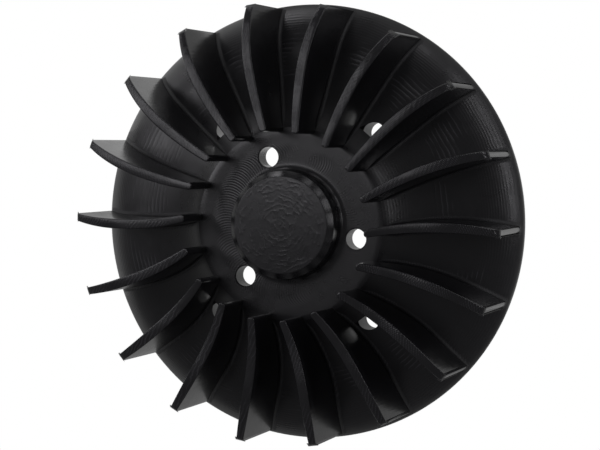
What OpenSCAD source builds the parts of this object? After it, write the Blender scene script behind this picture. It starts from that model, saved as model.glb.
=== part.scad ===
/* [Wheel] */
// Outside diameter over the thin rear rim
rim_d = 152; // [150:0.5:156]
// Thickness of the rim's edge
rim_edge = 1.8; // [1:0.1:3]
// Width of the flat ring that the rim rests on
rim_land_w = 3.5; // [2:0.5:6]

/* [Hub] */
// Diameter of the flat front face that carries the inner screws
hub_d = 66; // [64:0.5:70]
// Height of that face above the rim's rear plane
hub_z = 26; // [24:0.5:30]
// Thickness of the hub plate
hub_t = 8; // [6:0.5:9]
// Diameter of the shallow rear recess that centres the wheel on its motor
pilot_d = 72; // [70:0.5:73]
// Outside diameter of the flat rear ring that the outer screws clamp
seat_d = 94; // [92:1:98]
// Height of that rear ring above the rim's rear plane
seat_z = 8.5; // [7:0.5:12]

/* [Front floor] */
// Radius at which the floor turns from hollow, round the hub, to rounded, towards the rim
turn_r = 60; // [57:0.5:63]
// Height of the floor there, above the rim's rear plane
turn_z = 11.6; // [11:0.1:12.4]
// How steeply the floor falls there, in degrees
turn_fall = 12; // [8:1:16]

/* [Boss] */
// Diameter of the closed boss in the middle
boss_d = 36.5; // [34:0.5:37]
// Height of the boss above the hub face
boss_h = 10; // [8:0.5:14]
// Width of the chamfer round the boss's front edge
boss_chamfer = 2; // [0.5:0.5:3]
// Radius of the fillet at the boss's foot
boss_fillet = 2.5; // [1:0.5:3]
// Diameter of the blind bore that clears the motor's shaft end
shaft_bore_d = 24; // [16:1:28]
// Thickness of the boss's front wall
boss_wall = 5; // [3:0.5:8]

/* [Screw holes] */
// Diameter of every screw hole
screw_hole_d = 7; // [5:0.5:7]
// Circle that the three inner holes lie on
inner_pcd = 48; // [47:0.5:50]
// Circle that the four outer holes lie on
outer_pcd = 83; // [82:0.5:85]

/* [Vanes] */
// Number of vanes
vane_count = 18; // [18:18:18]
// Circle through the vanes' inner edges
inlet_d = 63; // [60:0.5:64]
// Circle through the vanes' outer edges
tip_d = 150; // [146:0.5:150]
// How far the inner edge trails the outer edge's radius
vane_lean = 1.5; // [0:0.1:3]
// Bow of the vane, measured from its chord
vane_bow = 2.2; // [1:0.1:3]
// Thickness at the inner and outer edges
vane_end_t = 2.5; // [2:0.1:3]
// Thickness in the middle
vane_mid_t = 3.4; // [3:0.1:4]
// Radius at which the front edge is level
crest_r = 52.5; // [50:0.5:56]
// Height of the front edge there, above the rim's rear plane
crest_z = 42; // [40:0.5:46]
// Radius of the arc in which the front edge rises towards the hub
inlet_arc_r = 100; // [80:5:150]
// Radius of the arc in which the front edge droops towards the rim
nose_arc_r = 40; // [38:1:60]

/* [Hidden] */
$fn = 96;
// clearance by which a cutter runs past the face that it cuts
past = 1;
rim_r = rim_d / 2;
hub_r = hub_d / 2;
hub_back_z = hub_z - hub_t;
pilot_r = pilot_d / 2;
seat_r = seat_d / 2;
boss_r = boss_d / 2;
boss_top_z = hub_z + boss_h;
screw_hole_r = screw_hole_d / 2;
inner_screw_angles = [110, 230, 350];
outer_screw_angles = [50, 130, 230, 310];
vane_pitch = 360 / vane_count;
inlet_r = inlet_d / 2;
tip_r = tip_d / 2;
// plan points where the vane's middle line starts and ends, for a vane whose tip lies on +X
vane_start = [inlet_r, -vane_lean];
vane_end = [tip_r, 0];
vane_chord = norm(vane_end - vane_start);
vane_chord_angle = atan2(vane_end.y - vane_start.y, vane_end.x - vane_start.x);
vane_blank_z = hub_z + hub_z;
// the two arcs of the front floor meet at the turn without a kink, so both centres lie on its normal
turn = [turn_r, turn_z];
turn_normal = [sin(turn_fall), cos(turn_fall)];
hollow_arc_r = floor_arc_radius(turn_r - hub_r, hub_z - turn_z);
rounded_arc_r = floor_arc_radius(rim_r - turn_r, turn_z - rim_edge);
finish = "#1c1d1f";
bright = "#26272a";

function vane_name(i) = str("vane_", i < 10 ? "0" : "", i);
// radius of the arc that rises by bow over the vane's chord
function arc_radius(bow) = (vane_chord * vane_chord / 4 + bow * bow) / (2 * bow);
// radius of an arc that spans run sideways and drop downwards and that falls by turn_fall at its end
function floor_arc_radius(run, drop) = run / (sin(2 * atan2(drop, run) - turn_fall) - sin(turn_fall));

// Screw holes, one at each angle on a circle, right through the plate and the disc.
module screw_holes(pcd, angles) {
  for (angle = angles)
    rotate([0, 0, angle])
      translate([pcd / 2, 0, seat_z - past])
        cylinder(h = hub_z - seat_z + boss_fillet + 2 * past, r = screw_hole_r);
}

// Flat plate in the middle: it carries the boss and the three inner screw holes.
module hub_plate() {
  color(finish)
    difference() {
      rotate_extrude()
        hub_plate_section();
      screw_holes(inner_pcd, inner_screw_angles);
    }
}

// Half section of the hub plate, with the fillet that leads up the boss's wall.
module hub_plate_section() {
  translate([boss_r, hub_back_z])
    square([hub_r - boss_r, hub_t]);
  difference() {
    translate([boss_r, hub_z])
      square(boss_fillet);
    translate([boss_r + boss_fillet, hub_z + boss_fillet])
      circle(r = boss_fillet);
  }
}

// Closed nose, hollow from behind so that it clears the end of the motor's shaft.
module boss() {
  color(bright)
    difference() {
      rotate_extrude()
        boss_section();
      translate([0, 0, hub_back_z - past])
        cylinder(h = boss_top_z - boss_wall - hub_back_z + past, d = shaft_bore_d);
    }
}

// Half section of the boss, with its front edge chamfered.
module boss_section() {
  polygon([
    [0, hub_back_z],
    [boss_r, hub_back_z],
    [boss_r, boss_top_z - boss_chamfer],
    [boss_r - boss_chamfer, boss_top_z],
    [0, boss_top_z]
  ]);
}

// Dished disc round the hub plate: the vanes stand on its front, the rim's land is its rear foot.
module back_disc() {
  color(finish)
    difference() {
      rotate_extrude()
        back_disc_section();
      screw_holes(outer_pcd, outer_screw_angles);
    }
}

// Half section of the disc, hollow behind: the pilot recess, the seat ring and then a cone.
module back_disc_section() {
  difference() {
    under_floor();
    polygon([
      [hub_r - past, -past],
      [hub_r - past, hub_back_z],
      [pilot_r, hub_back_z],
      [pilot_r, seat_z],
      [seat_r, seat_z],
      [rim_r - rim_land_w, 0],
      [rim_r - rim_land_w, -past]
    ]);
  }
}

// Half section of all that lies under the front floor, between the hub plate and the rim.
module under_floor() {
  difference() {
    translate([hub_r, 0])
      square([turn_r - hub_r, hub_z]);
    translate(turn + hollow_arc_r * turn_normal)
      circle(r = hollow_arc_r);
  }
  intersection() {
    translate([turn_r, 0])
      square([rim_r - turn_r, turn_z]);
    translate(turn - rounded_arc_r * turn_normal)
      circle(r = rounded_arc_r);
  }
}

// One vane. Vane 1 has its tip on +X, and the others follow counter-clockwise seen from the front.
module vane(i) {
  color(finish)
    rotate([0, 0, (i - 1) * vane_pitch])
      intersection() {
        linear_extrude(height = vane_blank_z)
          vane_plan();
        rotate_extrude()
          vane_side();
      }
}

// Plan of a vane: the space between two shallow arcs, cut off at the inlet and tip circles.
module vane_plan() {
  swell = (vane_mid_t - vane_end_t) / 2;
  outer_arc_r = arc_radius(vane_bow + swell);
  inner_arc_r = arc_radius(vane_bow - swell);
  difference() {
    intersection() {
      circle(r = tip_r);
      vane_chord_frame()
        translate([0, vane_end_t / 2 + vane_bow + swell - outer_arc_r])
          circle(r = outer_arc_r);
    }
    vane_chord_frame()
      translate([0, -vane_end_t / 2 + vane_bow - swell - inner_arc_r])
        circle(r = inner_arc_r);
    circle(r = inlet_r);
  }
}

// Puts its children at the middle of the vane's chord, with x along the chord.
module vane_chord_frame() {
  translate((vane_start + vane_end) / 2)
    rotate(vane_chord_angle)
      children();
}

// Side view of a vane from the hub axis out: hub face and floor below, the two front arcs above.
module vane_side() {
  difference() {
    translate([inlet_r - past, rim_edge / 2])
      square([rim_r - inlet_r + past, vane_blank_z]);
    square([hub_r, hub_z]);
    under_floor();
    translate([crest_r, crest_z + inlet_arc_r])
      circle(r = inlet_arc_r);
    difference() {
      translate([crest_r, 0])
        square([rim_r, vane_blank_z + past]);
      translate([crest_r, crest_z - nose_arc_r])
        circle(r = nose_arc_r);
    }
  }
}

hub_plate();
boss();
back_disc();
for (i = [1 : vane_count])
  vane(i);
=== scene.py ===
import math

import bmesh
import bpy
from mathutils import Matrix, Vector


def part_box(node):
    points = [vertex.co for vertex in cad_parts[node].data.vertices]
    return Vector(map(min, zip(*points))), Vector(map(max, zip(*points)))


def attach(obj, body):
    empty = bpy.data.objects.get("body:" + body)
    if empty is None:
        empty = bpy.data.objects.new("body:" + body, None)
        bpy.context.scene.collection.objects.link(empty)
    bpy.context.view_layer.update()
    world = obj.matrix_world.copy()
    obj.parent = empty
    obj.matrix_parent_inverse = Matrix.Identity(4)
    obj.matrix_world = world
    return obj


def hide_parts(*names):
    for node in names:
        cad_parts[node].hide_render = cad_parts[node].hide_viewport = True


MM = 0.001
MICROMETRE = 1e-6
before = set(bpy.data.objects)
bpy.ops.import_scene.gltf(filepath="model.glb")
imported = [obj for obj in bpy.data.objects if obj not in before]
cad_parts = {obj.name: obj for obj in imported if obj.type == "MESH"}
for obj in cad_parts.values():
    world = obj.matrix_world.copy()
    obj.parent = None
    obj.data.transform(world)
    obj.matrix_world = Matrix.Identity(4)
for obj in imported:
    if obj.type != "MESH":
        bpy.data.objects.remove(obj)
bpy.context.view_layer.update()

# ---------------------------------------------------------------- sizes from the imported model


def reach(node):
    """Least and greatest distance of a CAD node's points from the wheel's axis."""
    radii = [math.hypot(v.co.x, v.co.y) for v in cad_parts[node].data.vertices]
    return min(radii), max(radii)


rim_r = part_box("back_disc")[1].x
hub_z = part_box("back_disc")[1].z
hub_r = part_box("hub_plate")[1].x
hub_back_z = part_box("hub_plate")[0].z
boss_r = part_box("boss")[1].x
boss_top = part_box("boss")[1].z
inlet_r, tip_r = reach("vane_01")
vane_nodes = sorted(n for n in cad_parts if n.startswith("vane_"))
pitch = 2 * math.pi / len(vane_nodes)

# the rest repeats the part's own design sizes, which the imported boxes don't give
rim_edge = 1.8 * MM
rim_land_w = 3.5 * MM
seat_r = 47 * MM
seat_z = 8.5 * MM
pilot_r = 36 * MM
turn_r = 60 * MM
turn_z = 11.6 * MM
turn_fall = math.radians(12)
boss_chamfer = 2 * MM
boss_fillet = 2.5 * MM
shaft_bore_r = 12 * MM
boss_wall = 5 * MM
screw_hole_r = 3.5 * MM
inner_screws = (24 * MM, (110, 230, 350))
outer_screws = (41.5 * MM, (50, 130, 230, 310))
vane_lean = 1.5 * MM
vane_bow = 2.2 * MM
vane_end_t = 2.5 * MM
vane_mid_t = 3.4 * MM
crest_r = 52.5 * MM
crest_z = 42 * MM
inlet_arc_r = 100 * MM
nose_arc_r = 40 * MM

# edges as the cutter leaves them
edge_break = 0.3 * MM
hole_chamfer = 0.35 * MM
hub_blend = 0.35 * MM
vane_edge = 0.5 * MM
nose_round = 1.6 * MM
inlet_corner = 1.0 * MM
tip_corner = 1.15 * MM

# the fillet at a vane's root: it grows from nothing over fillet_run outside the hub, and is small at the tip
root_fillet = 1.2 * MM
tip_fillet = 0.5 * MM
fillet_run = 3 * MM
# depth by which a vane's foot stands in the disc, so that no gap shows
sunk = 0.2 * MM


def floor_arc_radius(run, drop):
    """Radius of an arc that spans run sideways and drop downwards and falls by turn_fall at its end."""
    return run / (math.sin(2 * math.atan2(drop, run) - turn_fall) - math.sin(turn_fall))


def flank_z(r):
    """Height of the floor's two arcs at radius r: hollow round the hub, rounded towards the rim."""
    if r < turn_r:
        radius = floor_arc_radius(turn_r - hub_r, hub_z - turn_z)
        centre_r = turn_r + radius * math.sin(turn_fall)
        centre_z = turn_z + radius * math.cos(turn_fall)
        return centre_z - math.sqrt(radius**2 - (r - centre_r) ** 2)
    radius = floor_arc_radius(rim_r - turn_r, turn_z - rim_edge)
    centre_r = turn_r - radius * math.sin(turn_fall)
    centre_z = turn_z - radius * math.cos(turn_fall)
    return centre_z + math.sqrt(radius**2 - (r - centre_r) ** 2)


def floor_z(r):
    """Height of the front at radius r: hub face and floor, with the edge between them eased."""
    if r < boss_r + boss_fillet:
        return hub_z
    middle, half = (hub_z + flank_z(r)) / 2, (hub_z - flank_z(r)) / 2
    return middle - math.hypot(half, hub_blend)


def front_z(r):
    """Height of a vane's front edge at radius r: one arc rises to the hub, one droops to the rim."""
    away = r - crest_r
    if away < 0:
        return crest_z + inlet_arc_r - math.sqrt(inlet_arc_r**2 - away**2)
    past = min(max(0.0, r - tip_r + nose_round), nose_round)
    drop = nose_round - math.sqrt(nose_round**2 - past**2)
    return crest_z - nose_arc_r + math.sqrt(nose_arc_r**2 - away**2) - drop


# ---------------------------------------------------------------- mesh helpers


def mesh_object(name, points, faces):
    """Object from points and faces, with doubled points merged and normals turned outwards."""
    same_place = 1e-7
    mesh = bpy.data.meshes.new(name)
    mesh.from_pydata(points, [], faces)
    shape = bmesh.new()
    shape.from_mesh(mesh)
    bmesh.ops.remove_doubles(shape, verts=shape.verts, dist=same_place)
    bmesh.ops.recalc_face_normals(shape, faces=shape.faces)
    shape.to_mesh(mesh)
    shape.free()
    piece = bpy.data.objects.new(name, mesh)
    bpy.context.scene.collection.objects.link(piece)
    return piece


def smooth(piece, angle=35):
    """Smooth shading that keeps edges sharper than the angle crisp."""
    piece.data.shade_smooth()
    piece.data.set_sharp_from_angle(angle=math.radians(angle))


def round_corners(corners, steps=4):
    """Outline points for corners given as (x, y, radius): an arc replaces each corner with a radius."""
    outline = []
    for i, (x, y, radius) in enumerate(corners):
        here = Vector((x, y))
        if radius == 0:
            outline.append(here)
            continue
        before = (Vector(corners[i - 1][:2]) - here).normalized()
        after = (Vector(corners[(i + 1) % len(corners)][:2]) - here).normalized()
        half = before.angle(after) / 2
        centre = here + (before + after).normalized() * radius / math.sin(half)
        start = here + before * radius / math.tan(half) - centre
        end = here + after * radius / math.tan(half) - centre
        turn = start.angle_signed(end)
        for k in range(steps + 1):
            arm = start.copy()
            arm.rotate(Matrix.Rotation(-turn * k / steps, 2))
            outline.append(centre + arm)
    return outline


def revolve(name, outline, segments=240):
    """Solid of revolution about the wheel's axis from a closed half section of (radius, height)."""
    on_axis = MICROMETRE
    points, faces, rings = [], [], []
    for r, z in outline:
        if r < on_axis:
            rings.append([len(points)] * segments)
            points.append((0, 0, z))
            continue
        rings.append(range(len(points), len(points) + segments))
        for k in range(segments):
            a = 2 * math.pi * k / segments
            points.append((r * math.cos(a), r * math.sin(a), z))
    for i, ring in enumerate(rings):
        following = rings[(i + 1) % len(rings)]
        for k in range(segments):
            n = (k + 1) % segments
            corner = [ring[k], following[k], following[n], ring[n]]
            face = list(dict.fromkeys(corner))
            if len(face) > 2:
                faces.append(face)
    return mesh_object(name, points, faces)


def drill(piece, screws, low, high_of):
    """Cuts one chamfered screw hole through the piece at each angle of the pattern.

    low is the height of the rear face, and high_of gives that of the front face at a radius.
    """
    radius, angles = screws
    high = high_of(radius)
    flare = screw_hole_r + hole_chamfer + MM
    for angle in angles:
        a = math.radians(angle)
        cutter = revolve(
            "cutter",
            [
                (0, low - MM),
                (flare, low - MM),
                (screw_hole_r, low + hole_chamfer),
                (screw_hole_r, high - hole_chamfer),
                (flare, high + MM),
                (0, high + MM),
            ],
            64,
        )
        cutter.location = (radius * math.cos(a), radius * math.sin(a), 0)
        cut = piece.modifiers.new("drill", "BOOLEAN")
        cut.operation = "DIFFERENCE"
        cut.solver = "EXACT"
        cut.object = cutter
        bpy.context.view_layer.update()
        apply_modifiers(piece)
        bpy.data.objects.remove(cutter)


def apply_modifiers(piece):
    """Replaces the piece's mesh by what its modifiers make of it."""
    evaluated = piece.evaluated_get(bpy.context.evaluated_depsgraph_get())
    shaped = bpy.data.meshes.new_from_object(evaluated)
    piece.modifiers.clear()
    piece.data = shaped


# ---------------------------------------------------------------- pieces


def make_boss():
    """Closed nose, hollow from behind, with broken edges."""
    corners = [
        (0, boss_top - boss_wall, 0),
        (shaft_bore_r, boss_top - boss_wall, 0.5 * MM),
        (shaft_bore_r, hub_back_z, edge_break),
        (boss_r, hub_back_z, edge_break),
        (boss_r, boss_top - boss_chamfer, edge_break),
        (boss_r - boss_chamfer, boss_top, edge_break),
        (0, boss_top, 0),
    ]
    piece = revolve("boss_turned", round_corners(corners))
    smooth(piece)
    return piece


def make_hub_plate():
    """Flat plate with the fillet that leads up the boss's wall; its outer edge follows the floor."""
    steps = 10
    fillet = [
        (
            boss_r + boss_fillet * (1 - math.cos(math.pi / 2 * k / steps)),
            hub_z + boss_fillet * (1 - math.sin(math.pi / 2 * k / steps)),
        )
        for k in range(steps + 1)
    ]
    level_r = boss_r + boss_fillet
    face_steps = 12
    rings = [level_r + (hub_r - level_r) * (k / face_steps) for k in range(1, face_steps + 1)]
    face = [(r, floor_z(r)) for r in rings]
    outline = [(hub_r, hub_back_z), (boss_r, hub_back_z)] + fillet + face
    piece = revolve("hub_plate_milled", outline)
    drill(piece, inner_screws, hub_back_z, lambda r: hub_z)
    smooth(piece)
    return piece


def make_back_disc():
    """Dished disc from the hub plate to the rim, hollow behind."""
    steps = 48
    rim_break_r = rim_r - edge_break
    front = [hub_r + (rim_break_r - hub_r) * k / steps for k in range(steps + 1)]
    corners = [
        (hub_r, hub_back_z, 0),
        (pilot_r, hub_back_z, 0.4 * MM),
        (pilot_r, seat_z, edge_break),
        (seat_r, seat_z, 1.5 * MM),
        (rim_r - rim_land_w, 0, edge_break),
        (rim_r, 0, edge_break),
        (rim_r, floor_z(rim_r) - edge_break / 2, 0),
    ]
    corners += [(r, floor_z(r), 0) for r in reversed(front)]
    piece = revolve("back_disc_milled", round_corners(corners), 360)
    drill(piece, outer_screws, seat_z, floor_z)
    smooth(piece)
    return piece


def vane_outline():
    """Plan outline of the vane whose tip lies on +X, as (point, outward normal) pairs."""
    start, end = Vector((inlet_r, -vane_lean)), Vector((tip_r, 0))
    along = (end - start).normalized()
    across = Vector((-along.y, along.x))
    middle, half = (start + end) / 2, (end - start).length / 2

    def side(u, sign):
        x = -1 + 2 * u
        bow = vane_bow * (1 - x * x)
        thick = vane_end_t + (vane_mid_t - vane_end_t) * (1 - x * x)
        return middle + along * half * x + across * (bow + sign * thick / 2)

    steps = 40
    # the points crowd towards the tip, where the front edge turns down
    spots = [math.sin(math.pi / 2 * k / steps) for k in range(steps + 1)]
    upper = [side(u, 1) for u in spots]
    lower = [side(u, -1) for u in reversed(spots)]
    corners = [(p.x, p.y, 0.0) for p in upper + lower]
    inlet_ends, tip_ends = (0, 2 * steps + 1), (steps, steps + 1)
    for ends, radius in ((inlet_ends, inlet_corner), (tip_ends, tip_corner)):
        for i in ends:
            corners[i] = (corners[i][0], corners[i][1], radius)
    outline = round_corners(corners, 6)
    pairs = []
    for i, p in enumerate(outline):
        tangent = (outline[(i + 1) % len(outline)] - outline[i - 1]).normalized()
        pairs.append((p, Vector((-tangent.y, tangent.x))))
    return pairs


def make_vane(name, angle, pairs):
    """One vane: rings of the plan outline from the sunk foot, up the fillet, to the rounded front."""
    spin = Matrix.Rotation(angle, 2)
    count = len(pairs)
    rings = []

    def ring(offset_of, height_of):
        """Adds a ring; both functions are given the root fillet's radius at each point."""
        points = []
        for p, normal in pairs:
            outwards = p.normalized()
            at_tip = max(0.0, normal.dot(outwards)) ** 2
            grown = min(1.0, max(0.0, (p.length - hub_r) / fillet_run))
            fillet = (root_fillet + (tip_fillet - root_fillet) * at_tip) * grown
            q = p + normal * offset_of(fillet)
            q *= min(1.0, (rim_r - edge_break) / q.length)
            points.append((q.x, q.y, height_of(q.length, fillet)))
        rings.append(points)

    ring(lambda f: f, lambda r, f: floor_z(r) - sunk)
    foot_steps = 8
    for k in range(foot_steps + 1):
        t = math.pi / 2 * k / foot_steps
        ring(
            lambda f, t=t: f * (1 - math.sin(t)),
            lambda r, f, t=t: floor_z(r) + f * (1 - math.cos(t)),
        )
    front_steps = 4
    for k in range(front_steps + 1):
        t = math.pi / 2 * k / front_steps
        ring(
            lambda f, t=t: -vane_edge * (1 - math.cos(t)),
            lambda r, f, t=t: front_z(r) - vane_edge * (1 - math.sin(t)),
        )
    points = []
    for row in rings:
        for x, y, z in row:
            q = Vector((x, y))
            q.rotate(spin)
            points.append((q.x, q.y, z))
    faces = []
    for j in range(len(rings) - 1):
        for i in range(count):
            n = (i + 1) % count
            a, b = j * count + i, j * count + n
            faces.append((b, a, a + count, b + count))
    faces += cap(0, count, False)
    faces += cap((len(rings) - 1) * count, count, True)
    piece = mesh_object(name, points, faces)
    smooth(piece, 50)
    return piece


def cap(first, count, up):
    """Quads that close a ring by joining each point to its opposite across the vane."""
    half = count // 2
    faces = []
    for i in range(half - 1):
        face = (first + i, first + i + 1, first + count - 2 - i, first + count - 1 - i)
        faces.append(face if up else face[::-1])
    return faces


# ---------------------------------------------------------------- materials

# black anodised aluminium: darkest and lightest dye, and the lighter colour of a painted sheen on the crests
# of tool marks
dye_dark = (0.0075, 0.0072, 0.0085)
dye_light = (0.0150, 0.0148, 0.0165)
crest_sheen = (0.055, 0.054, 0.060)
# size and height, in micrometres, of the metal's own fine grain
grain_size = 0.5 * MM
grain_height = 5


class Finish:
    """A material built from a few maths, noise and bump nodes, in the wheel's own coordinates."""

    def __init__(self, name, roughness_low, roughness_high):
        self.material = bpy.data.materials.new(name)
        self.material.use_nodes = True
        self.tree = self.material.node_tree
        self.shader = self.tree.nodes["Principled BSDF"]
        self.shader.inputs["IOR"].default_value = 1.6
        self.place = self.node("ShaderNodeTexCoord").outputs["Object"]
        split = self.node("ShaderNodeSeparateXYZ")
        self.join(self.place, split.inputs[0])
        self.x, self.y, self.z = split.outputs
        squares = self.math("ADD", self.math("POWER", self.x, 2), self.math("POWER", self.y, 2))
        self.r = self.math("SQRT", squares)
        self.turns = self.math("DIVIDE", self.math("ARCTAN2", self.y, self.x), 2 * math.pi)
        facing = self.node("ShaderNodeSeparateXYZ")
        self.join(self.node("ShaderNodeNewGeometry").outputs["Normal"], facing.inputs[0])
        self.facing_up = facing.outputs[2]
        self.mottle(roughness_low, roughness_high)

    def node(self, kind):
        """New node of the material's tree."""
        return self.tree.nodes.new(kind)

    def join(self, source, target):
        """Links a socket, or sets a plain number."""
        if isinstance(source, (int, float)):
            target.default_value = source
        else:
            self.tree.links.new(source, target)

    def math(self, operation, *values):
        """Output of a Math node with the values on its inputs."""
        made = self.node("ShaderNodeMath")
        made.operation = operation
        for value, socket in zip(values, made.inputs):
            self.join(value, socket)
        return made.outputs[0]

    def ease(self, value, low, high, start=0.0, end=1.0):
        """Smooth step from start to end while the value goes from low to high."""
        made = self.node("ShaderNodeMapRange")
        made.interpolation_type = "SMOOTHSTEP"
        self.join(value, made.inputs["Value"])
        made.inputs["From Min"].default_value = low
        made.inputs["From Max"].default_value = high
        made.inputs["To Min"].default_value = start
        made.inputs["To Max"].default_value = end
        return made.outputs["Result"]

    def noise(self, size, detail=2.0, stretch=None):
        """Noise from 0 to 1 whose patches are about size across; a stretch under 1 lengthens them."""
        vector = self.place
        if stretch:
            scaled = self.node("ShaderNodeVectorMath")
            scaled.operation = "MULTIPLY"
            self.join(vector, scaled.inputs[0])
            scaled.inputs[1].default_value = stretch
            vector = scaled.outputs[0]
        made = self.node("ShaderNodeTexNoise")
        made.inputs["Scale"].default_value = 0.5 / size
        made.inputs["Detail"].default_value = detail
        self.join(vector, made.inputs["Vector"])
        return made.outputs["Fac"]

    def scallops(self, phase, height):
        """Valleys with sharp ridges between them, one per unit of phase; height in micrometres."""
        from_middle = self.math("SUBTRACT", self.math("FRACT", phase), 0.5)
        return self.math("MULTIPLY", self.math("POWER", from_middle, 2), 4 * height)

    def wander(self, size, amount):
        """Noise from -amount to amount, to keep a pattern from running dead true."""
        return self.math("MULTIPLY", self.math("SUBTRACT", self.noise(size), 0.5), 2 * amount)

    def total(self, *values):
        result = values[0]
        for value in values[1:]:
            result = self.math("ADD", result, value)
        return result

    def product(self, *values):
        result = values[0]
        for value in values[1:]:
            result = self.math("MULTIPLY", result, value)
        return result

    def grain(self):
        """Height of the metal's own fine grain."""
        return self.product(self.noise(grain_size, 3), grain_height)

    def mottle(self, roughness_low, roughness_high):
        """Uneven dye and handling marks: colour and gloss change over patches of two sizes."""
        broad = self.noise(14 * MM, 3)
        fine = self.noise(1.6 * MM, 3)
        both = self.total(self.product(broad, 0.6), self.product(fine, 0.4))
        low, high = 0.3, 0.7
        ramp = self.node("ShaderNodeValToRGB")
        ramp.color_ramp.elements[0].position = low
        ramp.color_ramp.elements[0].color = (*dye_dark, 1)
        ramp.color_ramp.elements[1].position = high
        ramp.color_ramp.elements[1].color = (*dye_light, 1)
        self.join(both, ramp.inputs["Fac"])
        self.join(ramp.outputs["Color"], self.shader.inputs["Base Color"])
        self.gloss = self.ease(both, low, high, roughness_low, roughness_high)
        self.join(self.gloss, self.shader.inputs["Roughness"])

    def paint_crest_sheen(self, crests, low, high):
        """Painted sheen: base colour lightened on the marks' crests, as their height goes from low to high
        micrometres.
        """
        sheen_amount = self.ease(crests, low, high)
        mix = self.node("ShaderNodeMix")
        mix.data_type = "RGBA"
        mix.inputs["B"].default_value = (*crest_sheen, 1)
        self.join(self.shader.inputs["Base Color"].links[0].from_socket, mix.inputs["A"])
        self.join(sheen_amount, mix.inputs["Factor"])
        self.join(mix.outputs["Result"], self.shader.inputs["Base Color"])

    def emboss(self, height):
        """Bump from a height in micrometres."""
        bump = self.node("ShaderNodeBump")
        bump.inputs["Strength"].default_value = 1.0
        bump.inputs["Distance"].default_value = MICROMETRE
        self.join(height, bump.inputs["Height"])
        self.join(bump.outputs["Normal"], self.shader.inputs["Normal"])


def floor_finish():
    """Concentric scallops of a ball cutter: fine near the rim and the hub, broad between."""
    f = Finish("anodised_floor", 0.25, 0.36)
    fine_pitch, fine_height = 0.85 * MM, 30
    broad_pitch, broad_height = 1.6 * MM, 60
    fine_phase = f.total(f.math("DIVIDE", f.r, fine_pitch), f.wander(4 * MM, 0.7))
    broad_phase = f.total(f.math("DIVIDE", f.r, broad_pitch), f.wander(5 * MM, 0.6))
    fine = f.scallops(fine_phase, fine_height)
    broad = f.scallops(broad_phase, broad_height)
    fine_patches = f.ease(f.noise(9 * MM), 0.35, 0.55, 0.25, 1.0)
    broad_patches = f.ease(f.noise(7 * MM), 0.45, 0.65)
    outermost = f.ease(f.r, 75 * MM, 72 * MM, 0.3, 1.0)
    near_rim = f.product(f.ease(f.r, 60 * MM, 66 * MM), outermost)
    near_hub = f.ease(f.r, 44 * MM, 38 * MM, 0.0, 0.5)
    middle = f.product(f.ease(f.r, 46 * MM, 52 * MM), f.ease(f.r, 70 * MM, 62 * MM))
    lines = f.total(
        f.product(fine, f.total(near_rim, near_hub), fine_patches),
        f.product(broad, middle, broad_patches),
    )
    # painted sheen: the base colour is lightened on the crests of the scallops
    f.paint_crest_sheen(lines, 22, 50)
    f.emboss(f.total(lines, f.grain()))
    return f.material


def hub_finish():
    """Feed marks of an end mill that went round the boss, each an arc of the mill's own radius."""
    f = Finish("anodised_hub", 0.24, 0.34)
    path_r = 22 * MM
    mill_r = 8 * MM
    feed_pitch, feed_height = 0.85 * MM, 80
    chatter_size, chatter_height = 1.3 * MM, 30
    path_length = 2 * math.pi * path_r
    marks = round(path_length / feed_pitch)
    off_path = f.math("SUBTRACT", f.r, path_r)
    sweep_squared = f.math("SUBTRACT", mill_r**2, f.math("POWER", off_path, 2))
    sweep = f.math("SQRT", f.math("MAXIMUM", sweep_squared, 0))
    round_boss = f.product(f.turns, marks)
    along_arc = f.product(sweep, marks / path_length)
    feed = f.scallops(f.total(round_boss, along_arc, f.wander(8 * MM, 0.35)), feed_height)
    # the marks are strongest on the -X side and fade out away from the boss
    to_minus_x = -9
    strong = f.ease(f.total(f.noise(9 * MM), f.product(f.x, to_minus_x)), 0.42, 0.66, 0.12, 1.0)
    feed = f.product(feed, f.product(f.ease(f.r, 29 * MM, 25 * MM), strong))
    chatter_patches = f.ease(f.noise(6 * MM), 0.5, 0.65)
    chatter = f.product(f.noise(chatter_size, 2), chatter_patches, chatter_height)
    # painted sheen: the base colour is lightened on the crests of the feed marks
    f.paint_crest_sheen(feed, 40, 80)
    f.emboss(f.total(feed, chatter, f.grain()))
    return f.material


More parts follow.
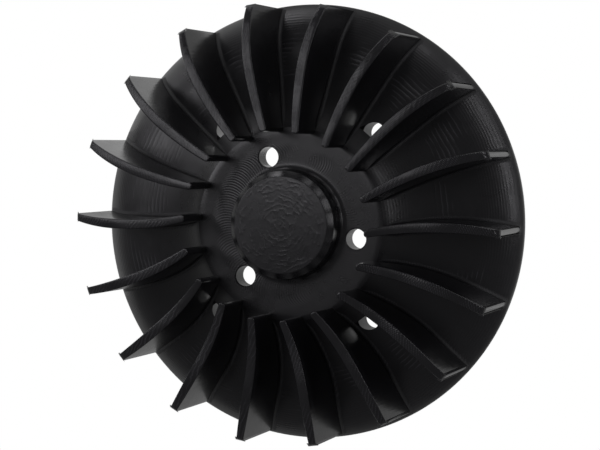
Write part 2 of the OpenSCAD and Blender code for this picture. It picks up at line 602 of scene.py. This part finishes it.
def boss_finish():
    """Fish scales: rings of short dished cuts on the face, and a finely turned chamfer and wall."""
    f = Finish("anodised_boss", 0.24, 0.34)
    ring_pitch, ring_height = 1.7 * MM, 34
    cut_length, cut_height = 3.6 * MM, 30
    turned_pitch, turned_height = 0.25 * MM, 0.8
    ring_wander = f.wander(2.0 * MM, 1.3)
    slow_wander = f.wander(6 * MM, 1.2)
    ring_phase = f.total(f.math("DIVIDE", f.r, ring_pitch), ring_wander, slow_wander)
    # each ring takes a whole number of cuts and starts them at an angle of its own
    ring = f.math("FLOOR", ring_phase)
    cuts_per_ring = 2 * math.pi * ring_pitch / cut_length
    around = f.math("MULTIPLY", f.math("ADD", ring, 0.5), cuts_per_ring)
    chance = f.node("ShaderNodeTexWhiteNoise")
    chance.noise_dimensions = "1D"
    f.join(ring, chance.inputs["W"])
    cuts = f.product(f.turns, f.math("ROUND", around))
    cut_phase = f.total(cuts, chance.outputs["Value"], f.wander(2 * MM, 0.3))
    scales = f.total(f.scallops(ring_phase, ring_height), f.scallops(cut_phase, cut_height))
    broad_patches = f.ease(f.noise(5 * MM), 0.38, 0.6, 0.3, 1.0)
    small_patches = f.ease(f.noise(1.8 * MM), 0.40, 0.55, 0.15, 1.0)
    strength = f.product(broad_patches, small_patches)
    face = f.math("GREATER_THAN", f.z, boss_top - 0.2 * MM)
    off_face = f.math("SUBTRACT", 1, face)
    marks = f.product(scales, strength, face)
    turned = f.scallops(f.math("DIVIDE", f.z, turned_pitch), turned_height)
    # painted sheen: the base colour is lightened on the crests of the scales
    f.paint_crest_sheen(marks, 34, 62)
    f.emboss(f.total(marks, f.product(f.grain(), face), f.product(turned, off_face)))
    # the chamfer and the wall are kept a little glossier than the face
    dullest = f.ease(f.z, boss_top - 0.25 * MM, boss_top - 0.1 * MM, 0.27, 0.30)
    f.join(f.math("MINIMUM", dullest, f.gloss), f.shader.inputs["Roughness"])
    return f.material


def vane_finish():
    """Fine slanting hatch on the front edge, and upright strokes of a long cutter on the walls."""
    f = Finish("anodised_vane", 0.16, 0.27)
    hatch_pitch, hatch_height = 0.7 * MM, 36
    row_pitch, row_height = 1.1 * MM, 18
    feed_pitch, feed_height = 1.3 * MM, 8
    stroke_size, low_stroke, high_stroke = 0.8 * MM, 8, 48
    edge = f.ease(f.facing_up, 0.35, 0.7)
    wall = f.math("SUBTRACT", 1, edge)
    # the hatch slants one way and the rows across it slant the other way
    across = f.product(f.turns, 2 * math.pi, f.r)
    slant = f.total(f.r, f.product(across, 0.5))
    hatch_phase = f.total(f.math("DIVIDE", slant, hatch_pitch), f.wander(1.5 * MM, 0.7))
    row_phase = f.math("DIVIDE", f.math("SUBTRACT", f.r, f.product(across, 0.7)), row_pitch)
    crossed = f.total(f.scallops(hatch_phase, hatch_height), f.scallops(row_phase, row_height))
    hatch = f.product(crossed, f.ease(f.noise(5 * MM), 0.35, 0.6, 0.45, 1.0), edge)
    # the strokes run along the axis and deepen towards the front
    feed_phase = f.total(f.math("DIVIDE", f.r, feed_pitch), f.wander(4 * MM, 0.8))
    feed = f.scallops(feed_phase, feed_height)
    stroke_height = f.ease(f.z, 16 * MM, 36 * MM, low_stroke, high_stroke)
    strokes = f.product(f.noise(stroke_size, 2, stretch=(1, 1, 0.08)), stroke_height)
    wall_patches = f.ease(f.noise(7 * MM), 0.40, 0.62, 0.35, 1.0)
    wall_marks = f.product(f.total(feed, strokes), wall, wall_patches)
    # the root fillet is duller than the wall
    foot = f.product(f.ease(f.z, 33 * MM, 29 * MM), f.ease(f.facing_up, 0.05, 0.35))
    f.join(f.total(f.gloss, f.product(foot, 0.35)), f.shader.inputs["Roughness"])
    # painted sheen: the base colour is lightened on the crests of the hatch
    f.paint_crest_sheen(hatch, 16, 46)
    f.emboss(f.total(hatch, wall_marks, f.grain()))
    return f.material


def finish_piece(piece, node, material):
    """Gives the piece its material and puts it in place of its CAD node."""
    piece.data.materials.clear()
    piece.data.materials.append(material)
    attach(piece, "root")
    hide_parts(node)


finish_piece(make_boss(), "boss", boss_finish())
finish_piece(make_hub_plate(), "hub_plate", hub_finish())
finish_piece(make_back_disc(), "back_disc", floor_finish())
outline_pairs = vane_outline()
vane_material = vane_finish()
for i, node in enumerate(vane_nodes):
    vane = make_vane(node + "_milled", i * pitch, outline_pairs)
    finish_piece(vane, node, vane_material)

# ---------------------------------------------------------------- stage, light and camera

# colour of every lamp and of the sky
cool_white = (0.98, 0.965, 1.01)
# the floor that is seen lies just under the wheel, and the one that is mirrored below that
sheet_z = -0.05 * MM
sheet_half = 3.0
mirrored_z = -2 * MM
near_floor_r = 125 * MM
far_floor_r = 2.5


def glow(name, brightness):
    """Evenly lit pale surface."""
    made = bpy.data.materials.new(name)
    made.use_nodes = True
    shader = made.node_tree.nodes["Principled BSDF"]
    shader.inputs["Base Color"].default_value = (0, 0, 0, 1)
    shader.inputs["Specular IOR Level"].default_value = 0
    shader.inputs["Emission Color"].default_value = (1, 1, 1, 1)
    shader.inputs["Emission Strength"].default_value = brightness
    return made


def flat_sector(name, azimuth, width, inner, outer, height, material):
    """Level piece of a ring round the axis; azimuth is its middle and width its angle, in degrees."""
    steps = 8
    points = []
    for k in range(steps + 1):
        a = math.radians(azimuth + width * (k / steps - 0.5))
        points.append((inner * math.cos(a), inner * math.sin(a), height))
        points.append((outer * math.cos(a), outer * math.sin(a), height))
    faces = [(2 * k, 2 * k + 1, 2 * k + 3, 2 * k + 2) for k in range(steps)]
    sector = mesh_object(name, points, faces)
    sector.data.materials.append(material)
    return sector


def softbox(name, azimuth, elevation, away, size, brightness, height=None):
    """Soft light at a distance from the hub, turned towards it; brightness is its surface's own."""
    lamp = bpy.data.lights.new(name, "AREA")
    lamp.shape = "RECTANGLE"
    lamp.size = size
    lamp.size_y = height or size
    lamp.energy = brightness * math.pi * lamp.size * lamp.size_y
    lamp.color = cool_white
    turn, rise = math.radians(azimuth), math.radians(elevation)
    arm = Vector((math.cos(rise) * math.cos(turn), math.cos(rise) * math.sin(turn), math.sin(rise)))
    holder = bpy.data.objects.new(name, lamp)
    holder.location = Vector((0, 0, hub_z)) + arm * away
    holder.rotation_mode = "QUATERNION"
    holder.rotation_quaternion = (-arm).to_track_quat("-Z", "Y")
    bpy.context.scene.collection.objects.link(holder)


# the pale floor: it glows evenly, and only the camera sees it
sheet_corners = [
    (-sheet_half, -sheet_half, sheet_z),
    (sheet_half, -sheet_half, sheet_z),
    (sheet_half, sheet_half, sheet_z),
    (-sheet_half, sheet_half, sheet_z),
]
sheet = mesh_object("floor", sheet_corners, [(0, 1, 2, 3)])
sheet.data.materials.append(glow("pale_floor", 1.0))
for ray in ("visible_diffuse", "visible_glossy", "visible_transmission", "visible_shadow"):
    setattr(sheet, ray, False)

# the unevenly lit floor that the wheel mirrors, unseen by the camera: brightness by azimuth
near_floor = {0: 0.6, 45: 0.4, 90: 0.35, 135: 0.85, 180: 0.5, 225: 0.35, 270: 0.35, 315: 0.35}
for azimuth, brightness in near_floor.items():
    lit = glow("lit_floor_%d" % azimuth, brightness)
    name = "floor_near_%d" % azimuth
    sector = flat_sector(name, azimuth, 45, MM, near_floor_r, mirrored_z, lit)
    sector.visible_camera = False
far_floor = {90: 0.5, 180: 0.16}
for azimuth, brightness in far_floor.items():
    lit = glow("lit_far_floor_%d" % azimuth, brightness)
    name = "floor_far_%d" % azimuth
    sector = flat_sector(name, azimuth, 90, near_floor_r, far_floor_r, mirrored_z, lit)
    sector.visible_camera = False

world = bpy.data.worlds.new("studio")
bpy.context.scene.world = world
world.use_nodes = True
sky = world.node_tree.nodes["Background"]
sky.inputs["Strength"].default_value = 0.13
sky.inputs["Color"].default_value = (*cool_white, 1)

# each lamp's name, azimuth, elevation, distance from the hub, size and brightness
softbox("key", 135, 73, 0.98, 0.30, 1.3)
softbox("left_high", 160, 53, 1.0, 0.30, 1.0)
softbox("left_mid", 165, 22, 1.0, 0.36, 0.5)
softbox("left_low", 150, 6, 1.0, 0.36, 1.0)
softbox("left_near", 159, 38, 0.36, 0.14, 1.4)
softbox("front_near", 180, 61, 0.33, 0.14, 0.15)
softbox("top_near", 121, 55, 0.21, 0.10, 0.7)
# low strips that the boss's chamfer mirrors, with their height at the end
softbox("right_strip", 27, 16, 0.9, 0.95, 2.8, 0.10)
softbox("top_strip", 72, 11, 0.9, 0.14, 2.6, 0.10)
softbox("far_strip", 113, 2, 0.9, 0.22, 3.2, 0.14)

# the wheel is seen 18 degrees off its axis, from the +X side and a little towards +Y
camera_turn = math.radians(2.2)
tilt = math.radians(18.2)
camera_azimuth = math.radians(8.4)
distance = 9.6 * rim_r
aim = Vector((-4.7, -1.4, 0)) * MM
level = Vector((math.cos(camera_turn), math.sin(camera_turn), 0))
off_axis = math.sin(tilt)
towards_x, towards_y = math.cos(camera_azimuth), math.sin(camera_azimuth)
back = Vector((off_axis * towards_x, off_axis * towards_y, math.cos(tilt)))
up = back.cross(level).normalized()
right = up.cross(back).normalized()
lens = bpy.data.cameras.new("camera")
lens.sensor_width = 36
lens.lens = 124.2
camera = bpy.data.objects.new("camera", lens)
turned = Matrix((right, up, back)).transposed().to_4x4()
camera.matrix_world = Matrix.Translation(aim + back * distance) @ turned
bpy.context.scene.collection.objects.link(camera)
bpy.context.scene.camera = camera
bpy.context.scene.view_settings.view_transform = "Standard"
